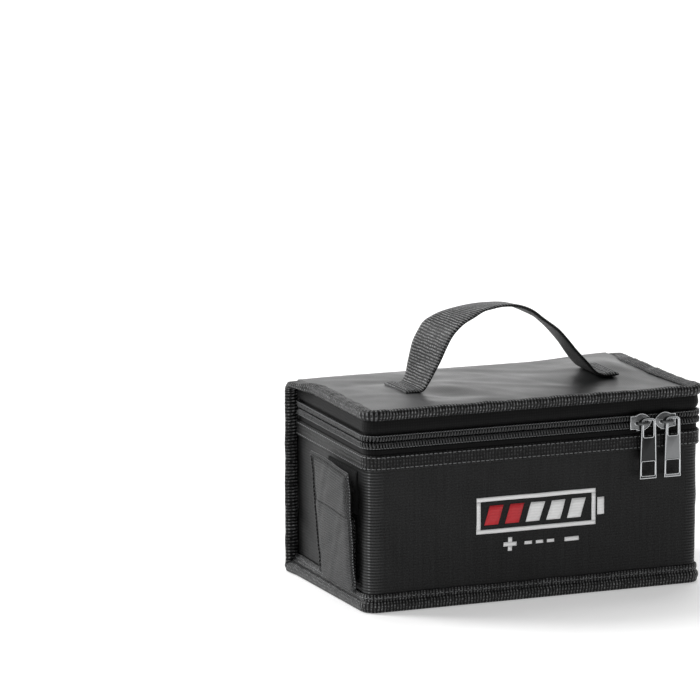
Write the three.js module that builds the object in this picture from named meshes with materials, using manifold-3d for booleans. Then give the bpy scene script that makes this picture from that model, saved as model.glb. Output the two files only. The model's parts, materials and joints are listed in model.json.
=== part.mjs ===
// A small soft-sided battery bag: a box of coated glass cloth over stiff boards. Its lid zips shut on
// three sides and turns on the back panel. It has a webbing handle, and a cable port under a flap.
// Millimetres, +Z up, -Y is the front. The origin is the middle of the base, on the standing surface.
import * as THREE from "three";
import { mergeVertices } from "three/addons/utils/BufferGeometryUtils.js";
import Module from "manifold-3d";

const wasm = await Module();
wasm.setup();

// ---- driving dimensions -------------------------------------------------------------------------
const WIDTH = 208; // over the side walls
const DEPTH = 118; // over the front and back walls
const HEIGHT = 114; // top face of the lid
const CORNER = 7; // outer radius of the two front corners
const TAPER = 5; // how far each side wall comes in between its front corner and the back
const GAP = 0.3; // space between neighbouring pieces
const CLOTH = 0.8; // coated cloth, and zip tape
const BOARD = 4;
const BASE_BOARD = 3;
const FRONT = -DEPTH / 2;
const BACK = DEPTH / 2;
const SIDE = WIDTH / 2;

const ZIP_Z = 98; // parting line of the zip
const COIL = { height: 3.65, depth: 3.2, proud: 1.8 };
const BAND = { top: 90.5, bottom: 81.6, thickness: 1.1, lap: 2.2 };
const BASE_TAPE = { height: 10.8, thickness: 1.2 };
const LID_TAPE = { top: 116.3, bottom: 105.5, thickness: 1.7, lip: 6 };
const BACK_TAPE = { reach: 7.5 };
const HINGE = { y: BACK + 0.9, z: 96, split: 0.4 };
const BOARD_TOP = 92.5;

const PORT = { y: -20, z: 33, width: 36, height: 30, rim: 3.5 };
const PATCH = { y: -20, width: 48, bottom: 54, top: 79 };
const FLAP = { width: 58, height: 70, thickness: 1.6, standOff: 3.3, hingeZ: 11.6, lean: 4.5 };

const HANDLE = { width: 32, thickness: 2.2, footTop: 116.5, pivotZ: 117.5, bend: 15 };
const FEET = { left: [-61.5, -52.5], right: [63, 72] }; // the handle's two sewn ends, along x
const SLIDER = { wing: 1.6, leftX: 63.8, rightX: 79.3, bridgeReach: 3.4 };
const PULL = { thickness: 1.3, plane: 5.2, pivotZ: -0.4 };

// ---- materials ----------------------------------------------------------------------------------
const finish = (color, roughness, metalness = 0) =>
  new THREE.MeshStandardMaterial({ color, roughness, metalness });
const cloth = finish(0x26272a, 0.6);
const lidCloth = finish(0x3a3b3e, 0.5);
const lining = finish(0x303134, 0.6);
const ribbedTape = finish(0x1c1c1e, 0.8);
const webbing = finish(0x202022, 0.8);
const zipTape = finish(0x151516, 0.9);
const coilNylon = finish(0x1d1d1f, 0.45);
const board = finish(0x8b8c88, 0.8);
const hooks = finish(0x101011, 0.95);
const gunmetal = finish(0x6f7073, 0.3, 1);

// ---- tools --------------------------------------------------------------------------------------
function solidOf(geometry) {
  const bare = new THREE.BufferGeometry().setAttribute("position", geometry.getAttribute("position"));
  if (geometry.index) bare.setIndex(geometry.index);
  const merged = mergeVertices(bare, 1e-4);
  return new wasm.Manifold(
    new wasm.Mesh({
      numProp: 3,
      vertProperties: merged.attributes.position.array,
      triVerts: new Uint32Array(merged.index.array),
    }),
  );
}

function geometryOf(solid) {
  const mesh = solid.getMesh();
  return new THREE.BufferGeometry()
    .setAttribute("position", new THREE.BufferAttribute(mesh.vertProperties, 3))
    .setIndex(new THREE.BufferAttribute(mesh.triVerts, 1));
}

const join = (first, ...rest) =>
  geometryOf(rest.reduce((solid, geometry) => solid.add(solidOf(geometry)), solidOf(first)));
const cut = (first, ...rest) =>
  geometryOf(rest.reduce((solid, geometry) => solid.subtract(solidOf(geometry)), solidOf(first)));
const common = (first, second) => geometryOf(solidOf(first).intersect(solidOf(second)));

function addMesh(parent, name, geometry, material) {
  geometry.computeVertexNormals();
  const mesh = new THREE.Mesh(geometry, material);
  mesh.name = name;
  parent.add(mesh);
  return mesh;
}

function box(x, y, z) {
  const geometry = new THREE.BoxGeometry(x[1] - x[0], y[1] - y[0], z[1] - z[0]);
  return geometry.translate((x[0] + x[1]) / 2, (y[0] + y[1]) / 2, (z[0] + z[1]) / 2);
}

// A plan outline raised from z = bottom to z = top.
function upright(shape, bottom, top, curveSegments = 5) {
  const options = { depth: top - bottom, bevelEnabled: false, curveSegments };
  return new THREE.ExtrudeGeometry(shape, options).translate(0, 0, bottom);
}

// A front elevation (x across, z up) with its near face at y = near, reaching back by depth.
function elevation(shape, near, depth, curveSegments = 6) {
  const geometry = new THREE.ExtrudeGeometry(shape, { depth, bevelEnabled: false, curveSegments });
  return geometry.rotateX(Math.PI / 2).translate(0, near + depth, 0);
}

// How far the side walls have come in at y.
const inset = (y) => (TAPER * (y - FRONT - CORNER)) / (DEPTH - CORNER);

// The plan outline of a strip round the left side, the front and the right side of the bag. Its outer
// face lies `proud` outside the walls, and both its ends stop at y = end.
function wrap(proud, thickness, end) {
  const outer = { x: SIDE + proud, y: FRONT - proud, r: CORNER + proud };
  const inner = { x: outer.x - thickness, y: outer.y + thickness, r: Math.max(outer.r - thickness, 0.5) };
  const shape = new THREE.Shape();
  shape.moveTo(inset(end) - outer.x, end);
  shape.lineTo(-outer.x, outer.y + outer.r);
  shape.absarc(outer.r - outer.x, outer.y + outer.r, outer.r, Math.PI, 1.5 * Math.PI, false);
  shape.lineTo(outer.x - outer.r, outer.y);
  shape.absarc(outer.x - outer.r, outer.y + outer.r, outer.r, -0.5 * Math.PI, 0, false);
  shape.lineTo(outer.x - inset(end), end);
  shape.lineTo(inner.x - inset(end), end);
  shape.lineTo(inner.x, inner.y + inner.r);
  shape.absarc(inner.x - inner.r, inner.y + inner.r, inner.r, 0, -0.5 * Math.PI, true);
  shape.lineTo(inner.r - inner.x, inner.y);
  shape.absarc(inner.r - inner.x, inner.y + inner.r, inner.r, 1.5 * Math.PI, Math.PI, true);
  shape.lineTo(inset(end) - inner.x, end);
  shape.closePath();
  return shape;
}

// The plan outline of a whole panel, `margin` inside the outer faces, with rounded front corners.
function panel(margin, back = BACK - margin, corner = CORNER - margin) {
  const x = SIDE - margin;
  const y = FRONT + margin;
  const shape = new THREE.Shape();
  shape.moveTo(inset(back) - x, back);
  shape.lineTo(-x, y + corner);
  shape.absarc(corner - x, y + corner, corner, Math.PI, 1.5 * Math.PI, false);
  shape.lineTo(x - corner, y);
  shape.absarc(x - corner, y + corner, corner, -0.5 * Math.PI, 0, false);
  shape.lineTo(x - inset(back), back);
  shape.closePath();
  return shape;
}

// The plan outline of a flat piece along one side wall (side is -1 or 1), from y[0] to y[1]. Its outer
// face lies `proud` outside the wall.
function sideStrip(side, proud, thickness, y) {
  const at = (out, along) => new THREE.Vector2(side * (SIDE + out - inset(along)), along);
  const inner = proud - thickness;
  return new THREE.Shape([at(inner, y[0]), at(proud, y[0]), at(proud, y[1]), at(inner, y[1])]);
}

// The plan outline of a room with sloping sides, `margin` inside the side walls.
function room(margin, y) {
  const at = (side, along) => new THREE.Vector2(side * (SIDE - margin - inset(along)), along);
  return new THREE.Shape([at(-1, y[0]), at(1, y[0]), at(1, y[1]), at(-1, y[1])]);
}

// A circle of the given radius, as the section of a rod.
const rod = (radius) => new THREE.Shape().absarc(0, 0, radius, 0, 2 * Math.PI, false);

// ---- levels and planes that several pieces share ---------------------------------------------------
const BACK_SIDE = SIDE - TAPER; // half the width over the back panel
const BACK_CLOTH = [BACK - CLOTH, BACK];
const WALL_END = BACK - CLOTH - GAP; // where the side walls stop short of the back panel
const BACK_TAPE_Y = [BACK - 3.1, BACK + 0.2];
const WRAP_END = BACK_TAPE_Y[0] - GAP; // where tapes and coils stop short of the back tapes
const BOARD_INSET = CLOTH + GAP;
const LINER_INSET = BOARD_INSET + BOARD + GAP;
const FLOOR = BOARD_INSET + BASE_BOARD + GAP; // underside of the liner, and foot of the wall boards
const COIL_BOTTOM = ZIP_Z - GAP / 2 - COIL.height;
const COIL_TOP = ZIP_Z + GAP / 2 + COIL.height;
const LID_CLOTH_BOTTOM = HEIGHT - CLOTH;
const LID_BOARD_BOTTOM = LID_CLOTH_BOTTOM - GAP - BOARD;
const PANEL_INSET = 1.4; // the base board, lid board and lid lining, inside the outer faces
const spread = (middle, width) => [middle - width / 2, middle + width / 2];
const portHole = (x) => box(x, spread(PORT.y, PORT.width), spread(PORT.z, PORT.height));

// ---- tub: everything that stays put when the lid opens ----------------------------------------------
function tub() {
  const group = new THREE.Group();
  const throughWall = portHole([-SIDE - 9, -SIDE + 12]);
  const wallBottom = CLOTH + GAP;
  const meeting = BAND.top - BAND.lap; // the wall cloth and the zip tape meet behind the band

  const walls = upright(wrap(0, CLOTH, WALL_END), wallBottom, meeting - GAP);
  addMesh(group, "wall_fabric", cut(walls, throughWall), cloth);
  const backPanel = box([-BACK_SIDE, BACK_SIDE], BACK_CLOTH, [wallBottom, HINGE.z - HINGE.split]);
  addMesh(group, "back_fabric", backPanel, cloth);
  addMesh(group, "base_fabric", upright(panel(0.2), 0, CLOTH), cloth);

  const boardHeight = [FLOOR, BOARD_TOP];
  const baseBoard = upright(panel(PANEL_INSET), wallBottom, wallBottom + BASE_BOARD);
  addMesh(group, "base_board", baseBoard, board);
  const frontBoardX = spread(0, WIDTH - 2 * CORNER - 2);
  const frontBoardY = [FRONT + BOARD_INSET, FRONT + BOARD_INSET + BOARD];
  addMesh(group, "front_board", box(frontBoardX, frontBoardY, boardHeight), board);
  const backBoardX = spread(0, 2 * (BACK_SIDE - LINER_INSET));
  addMesh(group, "back_board", box(backBoardX, [WALL_END - BOARD, WALL_END], boardHeight), board);
  const sideBoard = (side) =>
    upright(sideStrip(side, -BOARD_INSET, BOARD, [FRONT + CORNER + 0.5, WALL_END]), ...boardHeight);
  addMesh(group, "left_board", cut(sideBoard(-1), throughWall), board);
  addMesh(group, "right_board", sideBoard(1), board);

  const linerY = [FRONT + LINER_INSET, WALL_END - BOARD - GAP];
  const innerY = [linerY[0] + CLOTH, linerY[1] - CLOTH];
  const linerBlock = upright(room(LINER_INSET, linerY), FLOOR, BOARD_TOP);
  const hollow = upright(room(LINER_INSET + CLOTH, innerY), FLOOR + CLOTH, HEIGHT);
  addMesh(group, "tub_liner", cut(linerBlock, hollow, throughWall), lining);

  const outside = panel(-BASE_TAPE.thickness - GAP, BACK + GAP + BASE_TAPE.thickness);
  outside.holes.push(panel(-GAP, BACK + GAP));
  addMesh(group, "base_binding", upright(outside, GAP, BASE_TAPE.height), ribbedTape);
  for (const [name, side] of [["back_binding_left", -1], ["back_binding_right", 1]]) {
    const post = backPost(side, BASE_TAPE.height + GAP, HINGE.z - HINGE.split);
    addMesh(group, name, post, ribbedTape);
  }

  const band = wrap(BAND.thickness + GAP, BAND.thickness, WRAP_END);
  addMesh(group, "lower_band", upright(band, BAND.bottom, BAND.top), ribbedTape);
  const tape = upright(wrap(0, CLOTH, WALL_END), meeting, COIL_BOTTOM - GAP);
  addMesh(group, "lower_zip_tape", tape, zipTape);
  const coil = wrap(COIL.proud, COIL.depth, WRAP_END);
  addMesh(group, "lower_zip_coil", upright(coil, COIL_BOTTOM, ZIP_Z - GAP / 2), coilNylon);

  const patch = sideStrip(-1, GAP + CLOTH, CLOTH, spread(PATCH.y, PATCH.width));
  addMesh(group, "loop_patch", upright(patch, PATCH.bottom, PATCH.top), hooks);
  const rimShape = sideStrip(-1, GAP + CLOTH, CLOTH, spread(PORT.y, PORT.width + 2 * PORT.rim));
  const rim = upright(rimShape, ...spread(PORT.z, PORT.height + 2 * PORT.rim));
  addMesh(group, "port_binding", cut(rim, throughWall), ribbedTape);
  return group;
}

// A folded tape that stands out sideways over a vertical back seam, with a rounded outer edge.
function backPost(side, bottom, top) {
  const near = side * (BACK_SIDE + GAP);
  const radius = (BACK_TAPE_Y[1] - BACK_TAPE_Y[0]) / 2;
  const far = side * (BACK_SIDE + GAP + BACK_TAPE.reach - radius);
  const middle = (BACK_TAPE_Y[0] + BACK_TAPE_Y[1]) / 2;
  const shape = new THREE.Shape();
  shape.moveTo(near, BACK_TAPE_Y[0]);
  shape.lineTo(far, BACK_TAPE_Y[0]);
  shape.absarc(far, middle, radius, -Math.PI / 2, Math.PI / 2, side < 0);
  shape.lineTo(near, BACK_TAPE_Y[1]);
  shape.closePath();
  return upright(shape, bottom, top, 6);
}

// ---- lid ---------------------------------------------------------------------------------------
function lid() {
  const group = new THREE.Group();
  const drop = box([-BACK_SIDE, BACK_SIDE], BACK_CLOTH, [HINGE.z + HINGE.split, HEIGHT]);
  addMesh(group, "lid_fabric", join(upright(panel(0, BACK), LID_CLOTH_BOTTOM, HEIGHT), drop), lidCloth);
  const boardShape = panel(PANEL_INSET, WALL_END);
  addMesh(group, "lid_board", upright(boardShape, LID_BOARD_BOTTOM, LID_BOARD_BOTTOM + BOARD), board);
  const linerTop = LID_BOARD_BOTTOM - GAP;
  addMesh(group, "lid_liner", upright(boardShape, linerTop - CLOTH, linerTop), lining);

  const tape = upright(wrap(0, CLOTH, WALL_END), COIL_TOP + GAP, LID_CLOTH_BOTTOM - GAP);
  addMesh(group, "upper_zip_tape", tape, zipTape);
  const coil = wrap(COIL.proud, COIL.depth, WRAP_END);
  addMesh(group, "upper_zip_coil", upright(coil, ZIP_Z + GAP / 2, COIL_TOP), coilNylon);

  const proud = LID_TAPE.thickness + GAP;
  const end = BACK_TAPE_Y[0] + 1;
  const apron = upright(wrap(proud, LID_TAPE.thickness, end), LID_TAPE.bottom, LID_TAPE.top);
  const lip = upright(wrap(proud, LID_TAPE.lip, end), HEIGHT + GAP, LID_TAPE.top);
  const posts = [-1, 1].map((side) => backPost(side, HINGE.z + HINGE.split, LID_TAPE.top));
  addMesh(group, "lid_binding", join(apron, lip, ...posts), ribbedTape);

  const footY = [-HANDLE.width / 2, HANDLE.width / 2];
  const footZ = [HEIGHT + GAP, HANDLE.footTop];
  addMesh(group, "handle_end_left", box(FEET.left, footY, footZ), webbing);
  addMesh(group, "handle_end_right", box(FEET.right, footY, footZ), webbing);
  return group;
}

// The handle: one strip of webbing that rises from its two sewn ends. The origin is its tilt axis.
function handle() {
  const group = new THREE.Group();
  group.position.set(0, 0, HANDLE.pivotZ);
  const arch = new THREE.CatmullRomCurve3(
    [
      [-50, 0.5],
      [-46, 9.5],
      [-41.5, 20.5],
      [-33, 33],
      [-18, 41.5],
      [1, 44],
      [18, 41],
      [31, 31.5],
      [42.5, 20.5],
      [52.6, 8.5],
      [60.5, 0.5],
    ].map(([x, z]) => new THREE.Vector3(x, z, 0)),
    false,
    "centripetal",
  );
  const steps = 30;
  const middle = arch.getPoints(steps);
  const offset = (side) =>
    middle.map((point, i) => {
      const along = arch.getTangent(i / steps);
      const shift = (side * HANDLE.thickness) / 2;
      return new THREE.Vector2(point.x - along.y * shift, point.y + along.x * shift);
    });
  const outline = new THREE.Shape([...offset(1), ...offset(-1).reverse()]);
  const strip = elevation(outline, -HANDLE.width / 2, HANDLE.width);

  // The feet taper, so that the rigid strip can tilt over the lid as bending webbing does.
  const half = HANDLE.width / 2;
  const side = new THREE.Shape([
    new THREE.Vector2(-3.5, -1),
    new THREE.Vector2(3.5, -1),
    new THREE.Vector2(half, HANDLE.bend),
    new THREE.Vector2(half, 60),
    new THREE.Vector2(-half, 60),
    new THREE.Vector2(-half, HANDLE.bend),
  ]);
  const taper = new THREE.ExtrudeGeometry(side, { depth: WIDTH, bevelEnabled: false });
  const [x, y, z] = [new THREE.Vector3(1, 0, 0), new THREE.Vector3(0, 1, 0), new THREE.Vector3(0, 0, 1)];
  taper.translate(0, 0, -SIDE).applyMatrix4(new THREE.Matrix4().makeBasis(y, z, x));
  addMesh(group, "handle_webbing", common(strip, taper), webbing);
  return group;
}

// ---- zip sliders and pulls -----------------------------------------------------------------------
// A slider's outline: a square tail, shoulders and a nose, with the nose towards +x when head is 1.
function sliderOutline(head) {
  const shape = new THREE.Shape();
  shape.moveTo(-6.7 * head, -3.9);
  shape.lineTo(-3.4 * head, -3.9);
  shape.quadraticCurveTo(-1.2 * head, -5.2, 0.8 * head, -5.1);
  shape.quadraticCurveTo(4.4 * head, -4.6, 6.7 * head, -0.8);
  shape.lineTo(6.7 * head, 0.8);
  shape.quadraticCurveTo(4.4 * head, 4.6, 0.8 * head, 5.1);
  shape.quadraticCurveTo(-1.2 * head, 5.2, -3.4 * head, 3.9);
  shape.lineTo(-6.7 * head, 3.9);
  shape.closePath();
  return shape;
}

// An outer wing with a lip under it, a bridge over it, and an inner wing behind the coils. The
// slider's origin lies on the zip's parting line, in the outer face of the front wall.
function slider(side, x, head, bridgeX) {
  const group = new THREE.Group();
  group.position.set(x, FRONT, ZIP_Z);
  const wingFace = -COIL.proud - GAP - SLIDER.wing;
  const wing = elevation(sliderOutline(head), wingFace, SLIDER.wing, 4);
  const lip = box([-2.6, 2.6], [wingFace + 0.5, -BAND.thickness - GAP], [-5.2, -4.2]);

  const foot = wingFace + 0.6;
  const crest = wingFace - SLIDER.bridgeReach;
  const reach = 3.4;
  const path = new THREE.CatmullRomCurve3(
    [
      [-reach, foot],
      [-reach, crest + 1.6],
      [-reach + 1, crest + 0.3],
      [0, crest],
      [reach - 1, crest + 0.3],
      [reach, crest + 1.6],
      [reach, foot],
    ].map(([along, out]) => new THREE.Vector3(bridgeX + along, out, PULL.pivotZ)),
    false,
    "centripetal",
  );
  const bridge = new THREE.ExtrudeGeometry(rod(0.9), { steps: 14, curveSegments: 4, extrudePath: path });
  addMesh(group, "slider_" + side, join(wing, lip, bridge), gunmetal);

  const backWing = elevation(sliderOutline(head), COIL.depth - COIL.proud + 1.3, 1.2, 4);
  addMesh(group, "slider_" + side + "_back", backWing, gunmetal);

  const pivot = new THREE.Group();
  pivot.position.set(bridgeX + reach, -PULL.plane, PULL.pivotZ);
  addMesh(pivot, "pull_" + side, pull(), gunmetal);
  group.add(pivot);
  return group;
}

// A rectangle with rounded corners, from (x0, z0) to (x1, z1).
function rounded(path, x0, z0, x1, z1, r) {
  path.moveTo(x0 + r, z0);
  path.lineTo(x1 - r, z0);
  path.absarc(x1 - r, z0 + r, r, -0.5 * Math.PI, 0, false);
  path.lineTo(x1, z1 - r);
  path.absarc(x1 - r, z1 - r, r, 0, 0.5 * Math.PI, false);
  path.lineTo(x0 + r, z1);
  path.absarc(x0 + r, z1 - r, r, 0.5 * Math.PI, Math.PI, false);
  path.lineTo(x0, z0 + r);
  path.absarc(x0 + r, z0 + r, r, Math.PI, 1.5 * Math.PI, false);
  return path;
}

// A pull hangs from its origin: an eye at the top, a plain plate, and a window at the bottom.
function pull() {
  const shape = new THREE.Shape();
  shape.moveTo(-5.3, -32.6);
  shape.lineTo(5.3, -32.6);
  shape.lineTo(4.4, 0.6);
  shape.quadraticCurveTo(4, 2.5, 2, 2.6);
  shape.lineTo(-2, 2.6);
  shape.quadraticCurveTo(-4, 2.5, -4.4, 0.6);
  shape.closePath();
  shape.holes.push(rounded(new THREE.Path(), -3.1, -8.4, 3.1, 1.3, 1));
  shape.holes.push(rounded(new THREE.Path(), -4.2, -30.8, 4.2, -22.6, 0.8));
  return elevation(shape, 0, PULL.thickness, 3);
}

// ---- cable port flap: sewn in at its lower edge, and standing a little away from the wall ----------
function flap() {
  const group = new THREE.Group();
  group.position.set(inset(PORT.y) - SIDE - FLAP.standOff, PORT.y, FLAP.hingeZ);
  group.rotation.order = "ZYX";
  group.rotation.z = -Math.atan2(TAPER, DEPTH - CORNER);
  group.rotation.y = THREE.MathUtils.degToRad(-FLAP.lean);
  const half = FLAP.width / 2;
  const cover = box([-FLAP.thickness / 2, FLAP.thickness / 2], [-half, half], [0.4, FLAP.height + 0.4]);
  addMesh(group, "port_flap", cover, cloth);
  const hookX = [FLAP.thickness / 2 + GAP, FLAP.thickness / 2 + GAP + CLOTH];
  const hookZ = [PATCH.bottom - FLAP.hingeZ, PATCH.top - FLAP.hingeZ];
  addMesh(group, "hook_patch", box(hookX, [-PATCH.width / 2, PATCH.width / 2], hookZ), hooks);
  return group;
}

const bag = new THREE.Group();
bag.add(tub(), lid(), handle(), flap());
bag.add(slider("left", SLIDER.leftX, 1, 0.9));
bag.add(slider("right", SLIDER.rightX, -1, 0.9));

export default bag;
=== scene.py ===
"""A small zipped bag of coated black cloth for LiPo battery packs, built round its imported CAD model.

Lengths are millimetres until a mesh is made. The bag's front faces -Y, and its lid turns on the back.
"""

import json
from math import cos, pi, radians, sin

import bmesh
import bpy
import numpy as np
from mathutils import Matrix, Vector

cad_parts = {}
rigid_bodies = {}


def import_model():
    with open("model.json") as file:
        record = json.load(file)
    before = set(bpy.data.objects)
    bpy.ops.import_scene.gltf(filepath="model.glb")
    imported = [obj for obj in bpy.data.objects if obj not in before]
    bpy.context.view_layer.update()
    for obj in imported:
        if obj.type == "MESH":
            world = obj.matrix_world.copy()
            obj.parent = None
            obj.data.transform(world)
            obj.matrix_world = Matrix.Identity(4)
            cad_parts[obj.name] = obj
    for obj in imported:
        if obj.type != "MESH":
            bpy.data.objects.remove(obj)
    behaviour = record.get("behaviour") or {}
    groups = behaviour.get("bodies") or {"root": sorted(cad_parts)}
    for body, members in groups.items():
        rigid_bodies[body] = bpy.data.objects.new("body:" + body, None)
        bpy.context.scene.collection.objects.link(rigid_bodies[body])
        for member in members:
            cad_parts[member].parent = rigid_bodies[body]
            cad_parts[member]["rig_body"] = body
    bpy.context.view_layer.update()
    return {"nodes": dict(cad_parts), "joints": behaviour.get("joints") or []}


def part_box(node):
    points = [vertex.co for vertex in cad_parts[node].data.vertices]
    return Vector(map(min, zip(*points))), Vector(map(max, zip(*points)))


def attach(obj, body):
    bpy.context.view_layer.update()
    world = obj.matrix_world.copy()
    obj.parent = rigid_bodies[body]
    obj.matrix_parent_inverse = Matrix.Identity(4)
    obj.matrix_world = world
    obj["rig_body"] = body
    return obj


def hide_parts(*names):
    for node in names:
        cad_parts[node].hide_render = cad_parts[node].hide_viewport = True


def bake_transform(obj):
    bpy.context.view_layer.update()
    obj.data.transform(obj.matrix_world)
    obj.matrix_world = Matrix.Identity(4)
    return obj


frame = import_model()
MM = 0.001


def extent(node):
    """A CAD node's lowest and highest corners, in millimetres."""
    low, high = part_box(node)
    return np.array(low) / MM, np.array(high) / MM


# ---- sizes taken from the CAD model ----
WALL_LOW, WALL_HIGH = extent("wall_fabric")
SIDE = WALL_HIGH[0]
FRONT = WALL_LOW[1]
BACK = extent("back_fabric")[1][1]
TOP = extent("lid_fabric")[1][2]
BAND_LOW, BAND_HIGH = extent("lower_band")[0][2], extent("lower_band")[1][2]
COIL_LOW, COIL_HIGH = extent("lower_zip_coil")[0][2], extent("upper_zip_coil")[1][2]
ZIP_Z = (COIL_LOW + COIL_HIGH) / 2
TAPER = SIDE - extent("back_fabric")[1][0]
CORNER = 7.0
CLOTH = 0.8


# ---- curves and noise ----
def unit(vectors):
    """Vectors of length 1."""
    return vectors / np.linalg.norm(vectors, axis=-1, keepdims=True)


def running(steps):
    """Running totals of steps, from 0."""
    return np.concatenate([[0], np.cumsum(steps)])


def path_lengths(points):
    """The length along a path at each of its points."""
    return running(np.linalg.norm(np.diff(points, axis=0), axis=-1))


def along(lengths, values, s):
    """The values at the lengths s of a path."""
    return np.stack([np.interp(s, lengths, column) for column in values.T], -1)


def polyline(corners, count):
    """Points on straight runs between corners, `count` to each run."""
    corners = np.array(corners, float)
    return np.concatenate([np.linspace(a, b, count) for a, b in zip(corners, corners[1:])])


def sheet_grid(a, b):
    """The two coordinates of a grid whose first axis follows a and whose second follows b."""
    return np.meshgrid(a, b, indexing="ij")


def smooth(value, low, high):
    """0 below low, 1 above high, and an even turn between them."""
    t = np.clip((np.asarray(value, float) - low) / (high - low), 0, 1)
    return t * t * (3 - 2 * t)


def drift(*coordinates, size, seed):
    """Smooth unevenness between -1 and 1 that changes over about `size` millimetres."""
    total = 0.0
    for k, amplitude in enumerate((0.5, 0.3, 0.2)):
        phase = seed * 2.3 + k * 1.7
        angle = phase
        for i, c in enumerate(coordinates):
            turn = 1.0 + 0.37 * i + 0.61 * k * (1 + 0.3 * i)
            angle = angle + np.asarray(c, float) * turn * 2 * pi / size * (0.7 + 0.45 * ((i + k) % 3))
        total = total + amplitude * np.sin(angle + 1.3 * np.sin(0.53 * angle + phase))
    return total


def inset(y):
    """How far the side walls have come in at y, between their front corners and the back."""
    return TAPER * np.clip((y - FRONT - CORNER) / (BACK - FRONT - CORNER), 0, 1.05)


def edge_lift(x, y):
    """How far the lid's back right corner has been pushed up by use."""
    return 2.2 * smooth(x, 45, 98) * smooth(y, -35, 45)


def ridge(distance, at, width):
    """A smooth ridge, 1 high."""
    return np.exp(-(((distance - at) / width) ** 2))


def mound(x, y, height, at, spread):
    """A smooth bump over a plan point."""
    return height * ridge(x, at[0], spread[0]) * ridge(y, at[1], spread[1])


def crown(x, y):
    """How far the soft lid stands above its flat plane. It never sinks to the board under it."""
    inside = smooth(SIDE - np.abs(x), 3, 24) * smooth(y - FRONT, 2, 20) * smooth(BACK - y, -3, 10)
    swell = mound(x, y, 1.9, at=(-50, -2), spread=(55, 60)) + mound(x, y, 3.4, at=(80, 13), spread=(30, 24))
    trough = 1.5 * smooth(-y, 0, 18) * (1 - smooth(-y, 22, 50)) * ridge(x, -40, 13)
    dips = trough + mound(x, y, 0.6, at=(-58, 22), spread=(60, 7))
    uneven = 0.3 * drift(x, y, size=90, seed=3)
    return np.maximum(inside * (swell - dips + uneven), -0.15) + edge_lift(x, y)


def settle(points):
    """The bag's sag, as a shift of every soft piece."""
    p = np.array(points, float)
    x, y, z = np.moveaxis(p.copy(), -1, 0)
    hollow = smooth(z, 8, 40) * (1 - smooth(z, 60, 95))
    facing = smooth(-y, BACK - 6, BACK) * (1 - smooth(np.abs(x), 70, SIDE))
    p[..., 1] += facing * hollow * (0.5 * drift(x, z, size=150, seed=1) + 0.3)
    return p


# ---- the plan line round the bag ----
def straight(a, b, steps):
    """Points and outward normals along a straight stretch of a plan line."""
    a, b = np.array(a), np.array(b)
    x, y = unit(b - a)
    return [(a + (b - a) * k / steps, np.array([y, -x])) for k in range(steps + 1)]


def arc(centre, radius, first, last, steps):
    """Points and outward normals round a corner, between two angles in degrees."""
    angles = np.radians(first + (last - first) * np.arange(steps + 1) / steps)
    return [(np.array(centre) + radius * n, n) for n in np.stack([np.cos(angles), np.sin(angles)], -1)]


class Line:
    """Points, outward normals and lengths along the plan outline of the bag's walls."""

    def __init__(self, stations):
        pairs = zip(stations, stations[1:])
        kept = stations[:1] + [b for a, b in pairs if np.linalg.norm(b[0] - a[0]) > 1e-6]
        self.points, self.normals = [np.array(part) for part in zip(*kept)]
        self.lengths = path_lengths(self.points)
        self.total = self.lengths[-1]

    def at(self, s):
        """Point and outward normal at the lengths s."""
        return along(self.lengths, self.points, s), unit(along(self.lengths, self.normals, s))

    def place(self, s, out, z):
        """Space points `out` outside the walls and z high, at the lengths s."""
        p, n = self.at(s)
        flat = p + n * np.asarray(out)[..., None]
        return np.concatenate([flat, np.broadcast_to(z, flat.shape[:-1])[..., None]], -1)

    def left_at(self, y):
        """The length at which the line passes y on the left side, where it starts."""
        start, step = self.points[0][1], self.points[0][1] - self.points[1][1]
        return (start - np.asarray(y, float)) * self.lengths[1] / step


SIDE_STEPS = 60  # stations along each side of a plan line


def wall_line(end, back_radius=None, tapered=True):
    """The line down the left side, along the front and up the right side, or right round."""
    cx, cy = SIDE - CORNER, FRONT + CORNER
    back_x = SIDE - inset(end) * tapered
    stations = straight((-back_x, end), (-SIDE, cy), SIDE_STEPS)
    stations += arc((-cx, cy), CORNER, 180, 270, 10)
    stations += straight((-cx, FRONT), (cx, FRONT), 110)
    stations += arc((cx, cy), CORNER, 270, 360, 10)
    stations += straight((SIDE, cy), (back_x, end), SIDE_STEPS)
    if back_radius:
        r = back_radius
        stations += arc((back_x - r, end), r, 0, 90, 6)
        stations += straight((back_x - r, end + r), (r - back_x, end + r), 80)
        stations += arc((r - back_x, end), r, 90, 180, 6)
    return Line(stations)


WRAP = wall_line(extent("lower_band")[1][1])
WALL_LINE = wall_line(BACK - CLOTH - 0.3)
LEFT_CORNER = WALL_LINE.lengths[SIDE_STEPS] + 5  # near the middle of the rounded corner
WALL_CORNERS = [LEFT_CORNER, WALL_LINE.total - LEFT_CORNER]
BASE_LINE = wall_line(BACK - 1.5, back_radius=1.5, tapered=False)
LINER_LINE = wall_line(BACK - 8, back_radius=8)


def half_width(y, margin, tapered=True):
    """Half the bag's width at y, with its front corners rounded, less a margin."""
    front_corner = FRONT + CORNER - y
    if front_corner > 0:
        return SIDE - CORNER + np.sqrt(max(CORNER**2 - front_corner**2, 0)) - margin
    return SIDE - inset(y) * tapered - margin


# ---- mesh helpers ----
def in_scene(name, data):
    """A new object in the scene, with that mesh, light or camera."""
    obj = bpy.data.objects.new(name, data)
    bpy.context.scene.collection.objects.link(obj)
    return obj


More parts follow.
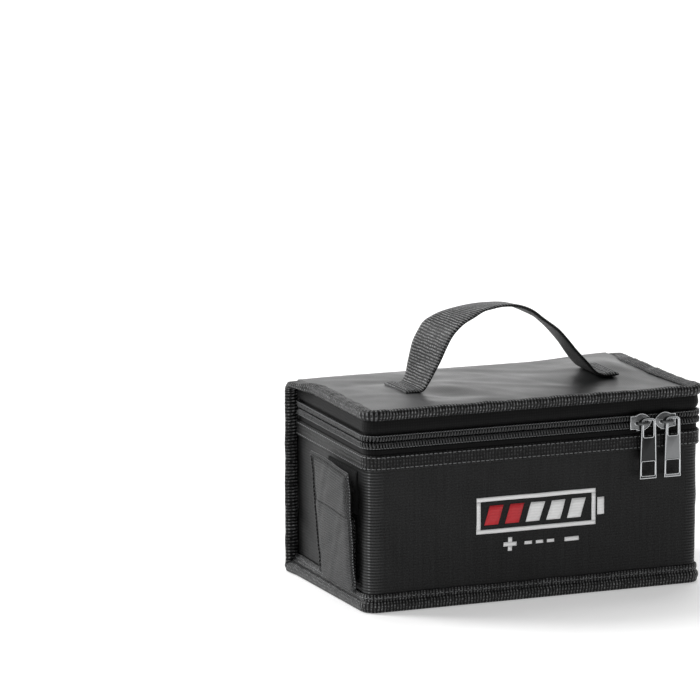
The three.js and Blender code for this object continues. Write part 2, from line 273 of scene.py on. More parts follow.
def add_object(name, points, faces, material, uvs=None):
    """A mesh object from points in millimetres, with a flat map in millimetres for its weave."""
    mesh = bpy.data.meshes.new(name)
    mesh.from_pydata((np.asarray(points, float) * MM).tolist(), [], faces)
    if uvs is not None:
        layer = mesh.uv_layers.new(name="flat")
        layer.data.foreach_set("uv", np.asarray(uvs, float).ravel())
    mesh.polygons.foreach_set("use_smooth", [True] * len(mesh.polygons))
    mesh.materials.append(material)
    mesh.update()
    return in_scene(name, mesh)


def grid(points, closed_rows=False, closed_columns=False, skip=None):
    """Quads over an (n, m) array of points. Closed rows join the last station to the first."""
    n, m = points.shape[:2]
    faces, corners = [], []
    for i in range(n if closed_rows else n - 1):
        for j in range(m if closed_columns else m - 1):
            if skip and skip(i, j):
                continue
            i2, j2 = (i + 1) % n, (j + 1) % m
            faces.append((i * m + j, i2 * m + j, i2 * m + j2, i * m + j2))
            corners += [(i, j), (i + 1, j), (i + 1, j + 1), (i, j + 1)]
    return faces, np.array(corners)


def run_lengths(points, axis):
    """Mean length along one axis of a grid of points, one more than its count, for the flat map."""
    closed = np.concatenate([points, np.take(points, [0], axis)], axis)
    return running(np.linalg.norm(np.diff(closed, axis=axis), axis=-1).mean(1 - axis))


def add_grid(name, points, material, closed_rows=False, closed_columns=False, skip=None, caps=False):
    """A surface over an (n, m, 3) array. u runs along the first axis and v along the second."""
    n, m = points.shape[:2]
    faces, corners = grid(points, closed_rows, closed_columns, skip)
    u, v = run_lengths(points, 0), run_lengths(points, 1)
    uvs = [np.stack([u[corners[:, 0]], v[corners[:, 1]]], -1)]
    if caps:
        faces.append(tuple(range(m))[::-1])
        faces.append(tuple((n - 1) * m + j for j in range(m)))
        uvs.append(np.stack([np.zeros(m), v[:m][::-1]], -1))
        uvs.append(np.stack([np.full(m, u[n - 1]), v[:m]], -1))
    return outward(add_object(name, points.reshape(-1, 3), faces, material, np.concatenate(uvs)))


def add_tube(name, rings, material, closed=False):
    """A closed section swept along stations, with capped ends unless its stations close up too."""
    return add_grid(name, rings, material, closed_rows=closed, closed_columns=True, caps=not closed)


def apply(obj, kind, **settings):
    """Adds one modifier to obj and applies it."""
    modifier = obj.modifiers.new(kind.title(), kind)
    for key, value in settings.items():
        setattr(modifier, key, value)
    depsgraph = bpy.context.evaluated_depsgraph_get()
    mesh = bpy.data.meshes.new_from_object(obj.evaluated_get(depsgraph))
    obj.modifiers.clear()
    obj.data = mesh


def outward(obj):
    """Makes all of a mesh's faces point outwards."""
    bm = bmesh.new()
    bm.from_mesh(obj.data)
    bmesh.ops.recalc_face_normals(bm, faces=bm.faces)
    bm.to_mesh(obj.data)
    bm.free()
    return obj


def slab(name, front, back, material):
    """A closed sheet between two (n, m, 3) grids of points, with the map laid over both."""
    n, m = front.shape[:2]
    count = n * m
    faces, corners = grid(front)
    u, v = run_lengths(front, 0), run_lengths(front, 1)
    uvs = np.stack([u[corners[:, 0]], v[corners[:, 1]]], -1).reshape(-1, 4, 2)
    rim = [i * m for i in range(n)] + [(n - 1) * m + j for j in range(1, m)]
    rim += [i * m + m - 1 for i in range(n - 2, -1, -1)] + list(range(m - 2, 0, -1))
    sides = [(a, b, b + count, a + count) for a, b in zip(rim, rim[1:] + rim[:1])]
    side_uvs = np.zeros((len(sides), 4, 2))
    side_uvs[:, :, 0] = np.arange(len(sides))[:, None] + np.array([0, 1, 1, 0])
    side_uvs[:, 2:, 1] = 1.5
    points = np.concatenate([front.reshape(-1, 3), back.reshape(-1, 3)])
    back_faces = [tuple(count + v for v in reversed(face)) for face in faces]
    mapped = np.concatenate([uvs, uvs[:, ::-1], side_uvs]).reshape(-1, 2)
    return outward(add_object(name, points, faces + back_faces + sides, material, mapped))


def place(obj, body, slot, *nodes):
    """Hangs a piece on a CAD body and hides the CAD nodes that it replaces."""
    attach(obj, body)
    if nodes:
        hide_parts(*nodes)


def bend(obj, body_a, body_b, low, high, slot, *nodes):
    """Bakes a soft piece's place into its mesh and hides the CAD nodes that it replaces."""
    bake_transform(obj)
    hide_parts(*nodes)


def joined(parts):
    """One object with the meshes of all the parts."""
    whole = bmesh.new()
    for part in parts:
        whole.from_mesh(part.data)
    whole.to_mesh(parts[0].data)
    whole.free()
    for part in parts[1:]:
        bpy.data.objects.remove(part)
    return parts[0]


def rounded_section(*points):
    """A closed section with its corners cut."""
    p = np.array(points, float)
    q = np.roll(p, -1, 0)
    return np.stack([0.75 * p + 0.25 * q, 0.25 * p + 0.75 * q], 1).reshape(-1, p.shape[-1])


def circle(sides, a, b):
    """Unit circles at the stations of a path, each in the plane of its two directions a and b."""
    turn = (np.arange(sides) * 2 * pi / sides)[None, :, None]
    return np.cos(turn) * a[:, None] + np.sin(turn) * b[:, None]


def strip(name, line, s, section, material, closed=False):
    """A tape along a plan line. section holds (out, z) points, one set or one for each length."""
    section = np.broadcast_to(section, (len(s), *np.shape(section)[-2:]))
    spread = np.broadcast_to(s[:, None], section.shape[:2])
    points = settle(line.place(spread, section[..., 0], section[..., 1]))
    return add_tube(name, points, material, closed)


# ---- materials ----
class Nodes:
    """A node tree. Each call adds a node and gives its output."""

    def __init__(self, tree):
        self.tree = tree

    def set(self, node, values):
        for key, value in values.items():
            socket = node.inputs[key if isinstance(key, int) else key.replace("_", " ")]
            if isinstance(value, bpy.types.NodeSocket):
                self.tree.links.new(value, socket)
            else:
                socket.default_value = value

    def node(self, kind, inputs=(), **values):
        node = self.tree.nodes.new(kind)
        self.set(node, values)
        self.set(node, dict(inputs))
        return node

    def math(self, operation, a, b=0.0, c=0.0):
        node = self.node("ShaderNodeMath", {0: a, 1: b, 2: c})
        node.operation = operation
        return node.outputs[0]

    def remap(self, value, low, high, to_low=0.0, to_high=1.0):
        values = {0: value, 1: low, 2: high, 3: to_low, 4: to_high}
        return self.node("ShaderNodeMapRange", values).outputs[0]


class Shader(Nodes):
    """A procedural material."""

    def __init__(self, name, **settings):
        self.material = bpy.data.materials.new(name)
        self.material.use_nodes = True
        super().__init__(self.material.node_tree)
        self.bsdf = self.tree.nodes["Principled BSDF"]
        self.set(self.bsdf, settings)
        self.flat = self.node("ShaderNodeUVMap").outputs[0]
        parts = self.node("ShaderNodeSeparateXYZ", Vector=self.flat)
        self.u, self.v = parts.outputs[0], parts.outputs[1]
        self.solid = self.node("ShaderNodeTexCoord").outputs["Object"]

    def times(self, a, b):
        return self.math("MULTIPLY", a, b)

    def scaled(self, a, scale, plus):
        return self.math("MULTIPLY_ADD", a, scale, plus)

    def wave(self, coordinate, pitch):
        """A sine of that pitch, from 0 to 1."""
        return self.scaled(self.math("SINE", self.times(coordinate, 2 * pi / pitch)), 0.5, 0.5)

    def noise(self, scale, detail=3.0, vector=None, stretch=None):
        vector = vector or self.flat
        if stretch:
            vector = self.node("ShaderNodeMapping", Vector=vector, Scale=stretch).outputs[0]
        values = {"Vector": vector, "Scale": scale, "Detail": detail}
        return self.node("ShaderNodeTexNoise", values).outputs[0]

    def ramp(self, value, dark, light):
        """A colour between dark and light, each a grey's value, a colour or a node's output."""
        node = self.tree.nodes.new("ShaderNodeMix")
        node.data_type = "RGBA"
        ends = [grey(end) if isinstance(end, float) else end for end in (dark, light)]
        ends = [(*end, 1) if isinstance(end, tuple) else end for end in ends]
        self.set(node, {0: value, 6: ends[0], 7: ends[1]})
        return node.outputs[2]

    def finish(self, colour, roughness, height=None, depth=0.0):
        """The finished material. Its bump comes from a height and a depth in millimetres."""
        values = {"Base Color": colour, "Roughness": roughness}
        if height is not None:
            bump = self.node("ShaderNodeBump", Height=height, Distance=depth * MM)
            values["Normal"] = bump.outputs[0]
        self.set(self.bsdf, values)
        return self.material


def grey(value, tint=0.04):
    """A near-neutral linear colour, a little blue for a positive tint."""
    return (value, value * (1 + tint / 2), value * (1 + tint))


RIB_PITCH = 1.7


def coated_cloth(name, light, rib, depth, specular, corners=()):
    """Coated glass cloth: ribs across the panel, broken into stitches, under a satin coat.

    The ribs get a painted highlight round the vertical corners, which lie at the lengths in corners,
    and between the corners their bump and their painted contrast are weaker.
    """
    m = Shader(name, IOR=1.5, Specular_IOR_Level=specular)
    worn = m.noise(0.05, 2, stretch=(1.0, 0.2, 1.0))
    ribs = m.math("POWER", m.wave(m.v, rib), 1.6)
    stitches = m.wave(m.scaled(ribs, 0.4, m.u), rib * 0.8)
    fine = m.times(ribs, m.scaled(stitches, 0.5, 0.5))
    # painted highlight: the ribs' colour contrast, and their bump with it, grow from the middle towards the
    # corners
    if corners:
        middle, half = (corners[0] + corners[1]) / 2, (corners[1] - corners[0]) / 2
        off_middle = m.math("ABSOLUTE", m.math("SUBTRACT", m.u, float(middle)))
        fine = m.times(fine, m.remap(off_middle, half - 14, half - 2, 0.35, 1.0))
    grain = m.noise(1.3, 4)
    streaks = m.noise(0.6, 2, stretch=(1.0, 0.03, 1.0))
    tone = m.scaled(fine, 0.55, m.remap(worn, 0.3, 0.7, 0.0, 0.3))
    tone = m.scaled(m.remap(streaks, 0.3, 0.7), 0.2, tone)
    tone = m.scaled(m.remap(grain, 0.35, 0.65, -0.6, 1.0), 0.45, tone)
    height = m.scaled(grain, 0.4, fine)
    colour = m.ramp(tone, 0.001, light)
    # painted highlight: the ribs are painted much lighter close to each corner, standing in for their glints
    for corner in corners:
        away = m.math("ABSOLUTE", m.math("SUBTRACT", m.u, float(corner)))
        edge = m.math("ADD", m.remap(away, 0.4, 0.9, 0.4, 0.0), m.remap(away, 1, 9, 0.16, 0.0))
        corner_highlight = m.times(edge, m.math("POWER", ribs, 1.5))
        colour = m.ramp(corner_highlight, colour, 14 * light)
    roughness = m.remap(worn, 0.3, 0.7, 0.45, 0.56)
    return m.finish(colour, roughness, height, depth)


def smooth_coating(name, dark, light, twill, depth, rough):
    """The lid's smoother coated side: a fine twill, faint creases and a soft gloss."""
    m = Shader(name, IOR=1.6)
    diagonal = m.wave(m.math("ADD", m.u, m.v), twill)
    cross = m.wave(m.math("SUBTRACT", m.u, m.v), twill)
    weave = m.times(diagonal, cross)
    worn = m.noise(0.045, 3)
    grain = m.noise(1.5, 4)
    clouds = m.scaled(worn, 0.5, m.times(grain, 0.2))
    colour = m.ramp(m.scaled(weave, 0.4, clouds), dark, light)
    height = m.scaled(grain, 0.35, weave)
    roughness = m.remap(worn, 0.3, 0.7, rough - 0.04, rough + 0.05)
    return m.finish(colour, roughness, height, depth)


def ribbed_tape(name, light, pitch, rough, worn_down, face=None):
    """Grosgrain tape: cords across its width, each wound with fine thread.

    worn_down is how deep the threads cut into each cord, from 0 to 1. A tape with a face of that
    width is painted darker on its other side, as painted shade.
    """
    m = Shader(name, IOR=1.5, Specular_IOR_Level=0.2, Sheen_Weight=0.02, Sheen_Roughness=0.4)
    shifted = m.scaled(m.noise(0.12, 2), pitch * 0.8, m.u)
    cords = m.remap(m.wave(shifted, pitch), 0.42, 0.68)
    threads = m.wave(m.scaled(cords, 0.35, m.v), pitch * 1.05)
    knots = m.times(cords, m.scaled(threads, worn_down, 1 - worn_down))
    fuzz = m.noise(0.9, 4)
    worn = m.remap(m.noise(0.1, 3), 0.35, 0.65, 0.55, 1.0)
    tone = m.times(knots, m.times(worn, m.remap(fuzz, 0.36, 0.64, 0.05, 1.4)))
    if face:
        # painted shade: past the face's width the tape is painted darker
        tone = m.times(tone, m.remap(m.v, face, face + 1, 1.0, 0.2))
    colour = m.ramp(tone, grey(0.001, 0.02), grey(light, 0.03))
    height = m.scaled(fuzz, 0.2, knots)
    return m.finish(colour, rough, height, 0.6)


def plain_weave(name, dark, light, pitch, depth):
    """A fine flat weave, for zip tape and linings."""
    m = Shader(name, IOR=1.45, Specular_IOR_Level=0.2, Sheen_Weight=0.02)
    weave = m.times(m.wave(m.u, pitch), m.wave(m.v, pitch))
    grain = m.noise(1.1, 3)
    tone = m.scaled(weave, 0.6, m.times(grain, 0.4))
    colour = m.ramp(tone, dark, light)
    return m.finish(colour, 0.75, tone, depth)


def moulded(name, dark, light, rough, depth=0.05):
    """Nylon or foam board: even colour with a faint mottle."""
    m = Shader(name, IOR=1.5)
    mottle = m.noise(900, 3, vector=m.solid)
    colour = m.ramp(mottle, dark, light)
    roughness = m.remap(mottle, 0.3, 0.7, rough - 0.06, rough + 0.06)
    return m.finish(colour, roughness, mottle, depth)


def plated_metal(name, value, rough):
    """Gunmetal plate: polished, with faint cloudy wear and fine brushing."""
    m = Shader(name, Metallic=1.0)
    cloud = m.noise(260, 4, vector=m.solid)
    brushing = m.noise(1.0, 2, vector=m.solid, stretch=(4000, 4000, 160))
    colour = m.ramp(cloud, value * 0.8, value * 1.15)
    roughness = m.remap(cloud, 0.3, 0.7, rough - 0.05, rough + 0.08)
    return m.finish(colour, roughness, brushing, 0.01)


def pile(name, scale, rows):
    """Hook or loop fabric: a dense rough pile in woven rows."""
    m = Shader(name, IOR=1.4, Specular_IOR_Level=0.15, Sheen_Weight=0.03)
    tufts = m.noise(scale, 5)
    height = m.scaled(m.wave(m.u, rows), 0.4, tufts)
    colour = m.ramp(tufts, 0.003, 0.02)
    return m.finish(colour, 0.9, height, 0.5)


def printed_ink(name, colour):
    """A thick print on the cloth, worn a little where the ribs stand up under it."""
    m = Shader(name, IOR=1.5)
    ribs = m.wave(m.v, RIB_PITCH)
    tone = m.scaled(ribs, 0.25, m.times(m.noise(0.8, 3), 0.3))
    worn = tuple(c * 0.72 for c in colour)
    return m.finish(m.ramp(tone, colour, worn), 0.5, ribs, 0.06)


# the wall cloth carries the painted highlight at its two front corners
WALL = coated_cloth("coated_cloth", 0.021, RIB_PITCH, depth=0.09, specular=0.2, corners=WALL_CORNERS)
FLAP_CLOTH = coated_cloth("flap_cloth", 0.050, rib=1.5, depth=0.2, specular=0.15)
LID = smooth_coating("lid_cloth", 0.014, 0.042, twill=1.9, depth=0.06, rough=0.34)
TAPE = ribbed_tape("ribbed_tape", 0.230, pitch=1.9, rough=0.45, worn_down=0.7)
BAND_TAPE = ribbed_tape("band_tape", 0.07, pitch=1.9, rough=0.45, worn_down=0.7)
# painted shade: the strap's underside, past 33 mm round its section, is painted darker
WEBBING = ribbed_tape("webbing", 0.270, pitch=1.75, rough=0.5, worn_down=0.25, face=33)
ZIP_TAPE = plain_weave("zip_tape", 0.001, 0.008, pitch=1.5, depth=0.2)
LINING = plain_weave("lining", 0.025, 0.07, pitch=1.4, depth=0.10)
NYLON = moulded("coil_nylon", 0.02, 0.07, rough=0.3)
BOARD = moulded("board", 0.05, 0.09, rough=0.8, depth=0.2)
METAL = plated_metal("gunmetal", 0.15, rough=0.24)
# lit and shaded copies of one gunmetal for the two pull plates: the left painted dark and the right painted
# lighter, as painted reflections
PULL_METAL_PAINTED_DARK = plated_metal("gunmetal_painted_dark_reflection", 0.035, rough=0.34)
PULL_METAL_PAINTED_LIGHT = plated_metal("gunmetal_painted_light_reflection", 0.22, rough=0.42)
# a much lighter copy of the gunmetal for the rims, a painted highlight
HIGHLIGHT_METAL = plated_metal("gunmetal_painted_highlight", 0.62, rough=0.16)
THREAD = moulded("thread", 0.11, 0.24, rough=0.45)
# near-black thread for the flap's stitches: dark thread, painted darker still as shade in the grooves it
# lies in
DARK_THREAD_AND_GROOVE_SHADE = moulded("dark_thread_groove_shade", 0.004, 0.012, rough=0.6)
LOOPS = pile("loop_pile", scale=1.8, rows=2.4)
HOOKS = pile("hook_pile", scale=1.2, rows=1.5)
INK_WHITE = printed_ink("ink_white", (0.95, 0.95, 0.95))
INK_RED = printed_ink("ink_red", (0.62, 0.02, 0.03))


# ---- stitches ----
def stitch_rows(name, rows, body, length=2.1, pitch=2.9, width=0.6, material=THREAD):
    """Raised stitches along rows of (points, one normal or one for each point), in one mesh."""
    stations = ((0, 0.35, 0.2), (0.25, 0.9, 0.8), (0.75, 0.9, 0.8), (1, 0.35, 0.2))
    section = ((-1, -0.5), (-0.6, 0.7), (0.6, 0.7), (1, -0.5))
    points, faces = [], []
    for path, normals in rows:
        lengths = path_lengths(path)
        normals = np.broadcast_to(normals, path.shape)
        for s in np.arange(pitch / 2, lengths[-1] - length / 2, pitch):
            start, end = along(lengths, path, [s - length / 2, s + length / 2])
            up = unit(along(lengths, normals, s))
            side = np.cross(up, unit(end - start))
            first = len(points)
            for share, wide, high in stations:
                for a, b in section:
                    shift = side * a * wide + up * b * high
                    points.append(start + (end - start) * share + shift * width / 2)
            for k in range(3):
                for j in range(4):
                    a, b = first + 4 * k + j, first + 4 * k + (j + 1) % 4
                    faces.append((a, b, b + 4, a + 4))
            faces.append((first + 3, first + 2, first + 1, first))
            faces.append((first + 12, first + 13, first + 14, first + 15))
    place(outward(add_object(name, points, faces, material)), body, "ribbed_tape")


def level(normals, rise):
    """Space normals from plan ones."""
    return np.concatenate([normals, np.full((len(normals), 1), rise)], -1)


def seam(line, out, z):
    """A stitch row along a plan line."""
    s = np.arange(0, line.total, 1.5)
    return settle(line.place(s, np.full(len(s), out), z)), level(line.at(s)[1], 0)


# ---- walls ----
PORT_LOW, PORT_HIGH = extent("port_binding")
PORT_RIM = 3.5
PORT_Y = (PORT_LOW[1] + PORT_RIM, PORT_HIGH[1] - PORT_RIM)
PORT_Z = (PORT_LOW[2] + PORT_RIM, PORT_HIGH[2] - PORT_RIM)


def wall_points(s, z, lift=0.0):
    """Points on the outside of the walls, which puff and sink a little between their seams."""
    between_seams = smooth(z, 8, 25) * (1 - smooth(z, 70, 84))
    puff = 0.45 * drift(s, z, size=85, seed=5) * between_seams - 0.2
    return settle(WALL_LINE.place(s, puff + lift, z))


def with_port(line, low, high, rows):
    """Lengths and heights for a grid with the cable port's edges in it, and the port's cells."""
    s = np.unique(np.round(np.concatenate([line.lengths, line.left_at(PORT_Y)]), 4))
    z = np.unique(np.round(np.concatenate([np.linspace(low, high, rows), PORT_Z]), 4))
    far, near = line.left_at(PORT_Y)

    def in_port(i, j):
        if i + 1 >= len(s) or j + 1 >= len(z):
            return False
        return near < (s[i] + s[i + 1]) / 2 < far and PORT_Z[0] < (z[j] + z[j + 1]) / 2 < PORT_Z[1]

    return s, z, in_port


def build_walls():
    """One cloth round the left side, the front and the right side, with the cable port cut in it."""
    s, z, in_port = with_port(WALL_LINE, WALL_LOW[2], WALL_HIGH[2], 34)
    ss, zz = sheet_grid(s, z)
    cloth = add_grid("wall_cloth", wall_points(ss, zz), WALL, skip=in_port)
    apply(cloth, "SOLIDIFY", thickness=CLOTH * MM, offset=-1)
    place(cloth, "tub", "coated_cloth", "wall_fabric")


def build_port_binding():
    """A narrow tape turned over the edge of the cable port."""
    corner, proud = 1.5, 1.0
    depth = PORT_RIM - 0.4
    y0, y1 = PORT_Y[0] - proud + corner, PORT_Y[1] + proud - corner
    z0, z1 = PORT_Z[0] - proud + corner, PORT_Z[1] + proud - corner
    path, normals = [], []
    for cy, cz, first in ((y1, z1, 0), (y0, z1, 90), (y0, z0, 180), (y1, z0, 270)):
        for k in range(6):
            a = radians(first + 90 * k / 5)
            path.append((cy + corner * cos(a), cz + corner * sin(a)))
            normals.append((cos(a), sin(a)))
    path, normals = np.array(path), np.array(normals)
    section = rounded_section(
        (-1.0, -0.6), (-1.1, 0.9), (0.3, 1.3), (depth - 1, 1.0), (depth - 0.8, 0.1), (0, 0.1)
    )
    points = np.zeros((len(path), len(section), 3))
    for j, (across, out) in enumerate(section):
        spot = path + normals * across
        points[:, j] = wall_points(WALL_LINE.left_at(spot[:, 0]), spot[:, 1], out)
    binding = add_tube("port_tape", points, TAPE, closed=True)
    place(binding, "tub", "ribbed_tape", "port_binding")
    middle = path + normals * (depth / 2 - 0.4)
    middle = np.concatenate([middle, middle[:1]])
    row = wall_points(WALL_LINE.left_at(middle[:, 0]), middle[:, 1], 1.25)
    stitch_rows("port_stitches", [(row, (-1, 0, 0))], "tub", length=1.6, pitch=2.3, width=0.45)


build_walls()
build_port_binding()


# ---- a plain battery sign printed on the front ----
def print_shapes(name, shapes, material):
    """Thin printed areas on the front wall, each from its four (x, z) corners."""
    on_front = np.abs(WALL_LINE.points[:, 1] - FRONT) < 0.01
    front_x, front_s = WALL_LINE.points[on_front, 0], WALL_LINE.lengths[on_front]
    cell, high, low = 3, 0.2, -0.1
    parts = []
    for corners in shapes:
        a, b, c, d = np.array(corners, float)
        share = np.linspace(0, 1, int(np.linalg.norm(b - a) / cell) + 2)[:, None, None]
        rise = np.linspace(0, 1, int(np.linalg.norm(d - a) / cell) + 2)[None, :, None]
        flat = (a * (1 - share) + b * share) * (1 - rise) + (d * (1 - share) + c * share) * rise
        s, z = np.interp(flat[..., 0], front_x, front_s), flat[..., 1]
        parts.append(slab(name, wall_points(s, z, high), wall_points(s, z, low), material))
    place(joined(parts), "tub", "coated_cloth")


def build_print():
    """A battery outline with its charge bars, and a plus, dashes and a minus under it."""

    def rectangle(x0, x1, z0, z1, slant=0.0):
        return [(x0, z0), (x1, z0), (x1 + slant, z1), (x0 + slant, z1)]

    left, right, low, high, line = -37.0, 37.5, 40.0, 61.0, 2.4
    white = [
        rectangle(left, right, low, low + line),
        rectangle(left, right, high - line, high),
        rectangle(left, left + line, low + line, high - line),
        rectangle(right - line, right, low + line, high - line),
        rectangle(right + 1.2, right + 5.5, 45.5, 55.5),
    ]
    gap, bar, pitch, bar_gap = 2.6, 8.6, 12.9, 2.4
    bars = []
    for k in range(5):
        x = left + line + bar_gap + k * pitch
        bars.append(rectangle(x, x + bar, low + line + gap, high - line - gap, slant=3.4))
    white += bars[2:]
    plus = [(-20, -12, 31.6, 34), (-17.2, -14.8, 28.8, 31.6), (-17.2, -14.8, 34, 36.8)]
    dashes = [(x, x + 4.5, 31.9, 33.7) for x in (-7, 0, 7)]
    white += [rectangle(*sign) for sign in plus + dashes + [(18, 27, 31.6, 34)]]
    print_shapes("print_white", white, INK_WHITE)
    print_shapes("print_red", bars[:2], INK_RED)


build_print()


# ---- the back and the top: one cloth that folds over the lid's back edge ----
HINGE_LOW, HINGE_HIGH = 89.0, 103.0  # the heights of the lid's hinge on the back cloth, given to bend()


def build_top():
    """The back and lid cloth, in rows up the back, round its upper edge and over the lid."""
    fold = 2.5
    # the rows lie closer where the cloth bends with the lid
    heights = [np.linspace(1.3, 86, 18), np.linspace(88, 104, 17), np.linspace(105, TOP - fold, 4)]
    rows = [(BACK, z) for z in np.concatenate(heights)]
    for k in range(1, 6):
        a = radians(90 * k / 5)
        rows.append((BACK - fold + fold * cos(a), TOP - fold + fold * sin(a)))
    rows += [(y, TOP) for y in np.linspace(BACK - fold - 1.5, FRONT + 0.3, 70)]
    across = np.linspace(-1, 1, 121)
    points = np.zeros((len(rows), len(across), 3))
    for i, (y, z) in enumerate(rows):
        x = across * half_width(y, 0.2)
        points[i] = np.stack([x, np.full(len(x), y), np.full(len(x), z)], -1)
        if z >= TOP - 0.01:
            points[i, :, 2] += crown(x, y)
        else:
            points[i, :, 2] += edge_lift(x, y) * smooth(z, 92, TOP - 2)
        if z < TOP - fold - 1:
            calm = smooth(z, 12, 30) * (1 - smooth(z, 70, 92)) * (1 - smooth(np.abs(x), 60, SIDE))
            points[i, :, 1] += calm * np.maximum(0.8 * drift(x, z, size=110, seed=8) - 0.2, -0.4)
    cloth = add_grid("back_and_lid_cloth", settle(points), LID)
    if cloth.data.polygons[0].normal.y < 0:
        cloth.data.flip_normals()
    apply(cloth, "SOLIDIFY", thickness=CLOTH * MM, offset=-1)
    bend(cloth, "tub", "lid", HINGE_LOW, HINGE_HIGH, "lid_cloth", "back_fabric", "lid_fabric")


build_top()


# ---- bindings ----
def build_base_binding():
    """A folded tape round the base. Its outer edge is square, and its top follows the tapered walls."""
    s = BASE_LINE.lengths[:-1]
    spots, normals = BASE_LINE.at(s)
    x, y = np.abs(spots[:, 0]), spots[:, 1]
    follow = inset(y) * np.abs(normals[:, 0])
    near_flange = smooth(y, BACK - 16, BACK - 2) * smooth(x, SIDE - 8, SIDE - 1)
    wobble = 0.3 * drift(s, size=45, seed=2)
    # (out, z, share of the walls' taper) round the tape's section
    outline = rounded_section(
        (0.15, 10.6, 1.0), (0.95, 10.9, 1.0), (1.2, 9.6, 0.9), (1.1, 7.5, 0.6), (0.6, 6.9, 0.5),
        (1.4, 6.5, 0.35), (2.2, 5.2, 0.1), (2.25, 3.4, 0.0), (1.6, 2.3, 0.0), (1.35, 0.6, 0.0),
        (0.4, 0.15, 0.0), (-0.6, 0.3, 0.0), (-0.5, 5.0, 0.5),
    )
    out, z, following = outline.T
    out = out - follow[:, None] * following + near_flange[:, None] * 1.1 * (1 - following)
    z = z + wobble[:, None] * smooth(z, 3, 9)
    binding = strip("base_tape", BASE_LINE, s, np.stack([out, z], -1), TAPE, closed=True)
    place(binding, "tub", "ribbed_tape", "base_binding")
    row = np.arange(0, BASE_LINE.total, 1.5)
    spots, normals = BASE_LINE.at(row)
    row_out = 1.3 - 0.8 * inset(spots[:, 1]) * np.abs(normals[:, 0])
    row_points = settle(BASE_LINE.place(row, row_out, np.full(len(row), 8.7)))
    stitch_rows("base_stitches", [(row_points, level(normals, 0.3))], "tub", width=0.5)


def edge_path():
    """Stations (plan point, outward, up, height, share of seam shape) of the edge tape.

    It runs up the left back seam, round the lid, and down the right back seam.
    """
    radius, steps = 8.0, 9
    back_x = SIDE - TAPER
    heights = np.linspace(5.0, TOP - radius, 66)[:-1]
    rise = [((-back_x, BACK), (-1, 0, 0), (0, 1, 0), z, 1.0) for z in heights]
    for k in range(steps):
        a = radians(90 * k / steps)
        y, z = BACK - radius + radius * cos(a), TOP - radius + radius * sin(a)
        rise.append(((inset(y) - SIDE, y), (-1, 0, 0), (0, cos(a), sin(a)), z, 1.0))
    fall = [((-x, y), (-ox, oy, oz), up, z, m) for (x, y), (ox, oy, oz), up, z, m in reversed(rise)]
    lid_line = wall_line(BACK - radius)
    near_back = np.minimum(lid_line.lengths, lid_line.total - lid_line.lengths)
    share = 1 - smooth(near_back, 2, 26)
    lid = [
        (tuple(p), (*n, 0), (0, 0, 1), TOP, m) for p, n, m in zip(lid_line.points, lid_line.normals, share)
    ]
    return [
        (plan, out, up, z + edge_lift(*plan) * smooth(z, 92, TOP - 2), m)
        for plan, out, up, z, m in rise + lid + fall
    ]


def build_edge_binding():
    """One tape up a back seam, round three sides of the lid and down the other back seam."""
    lid_section = [
        (-5.8, 0.25), (-6.1, 0.9), (-4.6, 1.6), (-2.0, 2.2), (0.8, 2.4), (2.3, 1.6), (2.9, 0.2),
        (2.8, -1.3), (2.2, -2.6), (1.3, -3.5), (0.6, -3.7), (0.2, -3.3), (0.3, -2.4), (0.3, -1.0),
        (0.3, 0.2), (-2.5, 0.25),
    ]
    seam_section = [
        (-0.6, -0.4), (-0.4, 0.1), (1.5, 0.3), (3.5, 0.3), (5.5, 0.2), (7.2, 0.1), (7.8, -0.6),
        (7.9, -1.5), (7.6, -2.4), (6.4, -2.9), (4.6, -3.1), (3.0, -3.0), (1.6, -2.7), (0.6, -2.2),
        (0.3, -1.5), (0.0, -0.9),
    ]
    stations = edge_path()
    points = np.zeros((len(stations), len(lid_section), 3))
    for i, (plan, out, up, z, share) in enumerate(stations):
        side, rise = (np.array(lid_section) * (1 - share) + np.array(seam_section) * share).T
        run = i * 1.9  # about the length so far
        inner = smooth(-side, 0, 5)
        wander = 0.7 * inner * drift(run, size=31, seed=4)
        wander += 0.25 * (1 - inner) * drift(run, size=26, seed=5) * (side > 2)
        rise = rise * np.where(rise > 0, 1 + 0.2 * drift(run, size=27, seed=6), 1)
        points[i] = np.array([*plan, z]) + np.outer(side + wander, out) + np.outer(rise, up)
    binding = add_tube("edge_tape", settle(points), TAPE)
    nodes = ("lid_binding", "back_binding_left", "back_binding_right")
    bend(binding, "tub", "lid", HINGE_LOW, HINGE_HIGH, "ribbed_tape", *nodes)


def build_band():
    """The ribbed band sewn over the lower zip tape, with two rows of stitches."""
    s = WRAP.lengths
    low, high = BAND_LOW, BAND_HIGH
    outline = rounded_section(
        (0.25, low + 0.1), (1.1, low - 0.1), (1.45, low + 1.4), (1.35, low + 4.5), (1.45, high - 1.5),
        (1.2, high - 0.3), (0.25, high), (0.25, low + 4.5),
    )
    section = np.repeat(outline[None], len(s), 0)
    ripple = 0.22 * drift(s, size=37, seed=9)
    section[..., 1] += ripple[:, None] * (1 - smooth(section[..., 1], low, high))
    place(strip("band", WRAP, s, section, BAND_TAPE), "tub", "ribbed_tape", "lower_band")
    stitch_rows("band_stitches", [seam(WRAP, 1.5, high - 1.2), seam(WRAP, 1.5, low + 1.2)], "tub")


build_base_binding()
build_edge_binding()
build_band()


